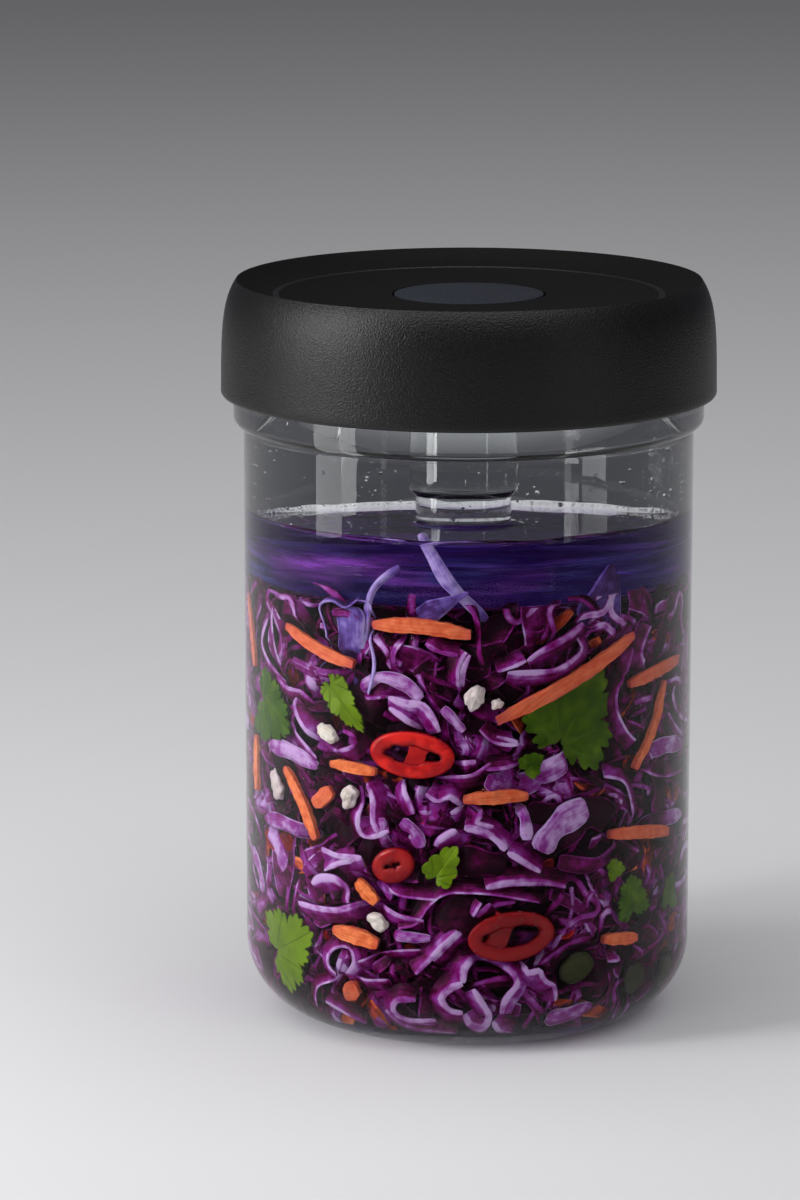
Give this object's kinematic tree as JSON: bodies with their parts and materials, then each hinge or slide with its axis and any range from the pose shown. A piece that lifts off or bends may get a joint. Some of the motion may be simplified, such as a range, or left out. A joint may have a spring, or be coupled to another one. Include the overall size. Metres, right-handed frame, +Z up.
{
  "type": "fermentation jar of red cabbage slaw",
  "caption": "Straight-sided glass jar with a wide black cap and slate valve disc, packed with shredded red cabbage slaw held down by a clear glass weight.",
  "frame": {"origin": "on the jar's axis at the flat base it stands on, bottom centre of the bounding box", "axes": "+Z up along the jar's axis; the pictured front faces -Y, with +X to the viewer's right"},
  "size_m": [0.121, 0.121, 0.182],
  "materials": {
    "clear_glass": "clear polished glass",
    "weight_glass": "clear polished glass",
    "black_cap": "satin black moulded plastic",
    "slate_valve": "matte silicone",
    "red_cabbage": "wet shredded cabbage",
    "carrot": "wet cut carrot",
    "red_chili": "wet shiny chili skin",
    "cilantro": "wet leaf",
    "pale_vegetable": "wet cut vegetable",
    "green_slice": "wet cut vegetable"
  },
  "bodies": {
    "root": {"glass_jar": "clear_glass", "lid": "black_cap", "valve_disc": "slate_valve", "glass_weight": "weight_glass", "cabbage_slaw": "red_cabbage", "carrot_strip_01": "carrot", "carrot_strip_02": "carrot", "carrot_strip_03": "carrot", "carrot_strip_04": "carrot", "carrot_strip_05": "carrot", "carrot_strip_06": "carrot", "carrot_strip_07": "carrot", "carrot_strip_08": "carrot", "carrot_strip_09": "carrot", "carrot_strip_10": "carrot", "carrot_strip_11": "carrot", "carrot_strip_12": "carrot", "carrot_strip_13": "carrot", "carrot_strip_14": "carrot", "carrot_strip_15": "carrot", "carrot_strip_16": "carrot", "carrot_strip_17": "carrot", "carrot_strip_18": "carrot", "carrot_strip_19": "carrot", "carrot_strip_20": "carrot", "carrot_strip_21": "carrot", "carrot_strip_22": "carrot", "chili_ring_1": "red_chili", "chili_ring_2": "red_chili", "chili_ring_3": "red_chili", "chili_ring_4": "red_chili", "chili_ring_5": "red_chili", "cilantro_leaf_01": "cilantro", "cilantro_leaf_02": "cilantro", "cilantro_leaf_03": "cilantro", "cilantro_leaf_04": "cilantro", "cilantro_leaf_05": "cilantro", "cilantro_leaf_06": "cilantro", "cilantro_leaf_07": "cilantro", "cilantro_leaf_08": "cilantro", "cilantro_leaf_09": "cilantro", "cilantro_leaf_10": "cilantro", "cilantro_leaf_11": "cilantro", "cilantro_leaf_12": "cilantro", "pale_chunk_1": "pale_vegetable", "pale_chunk_2": "pale_vegetable", "pale_chunk_3": "pale_vegetable", "pale_chunk_4": "pale_vegetable", "pale_chunk_5": "pale_vegetable", "pale_chunk_6": "pale_vegetable", "pale_chunk_7": "pale_vegetable", "pale_chunk_8": "pale_vegetable", "green_slice_1": "green_slice", "green_slice_2": "green_slice", "green_slice_3": "green_slice"}
  },
  "joints": []
}
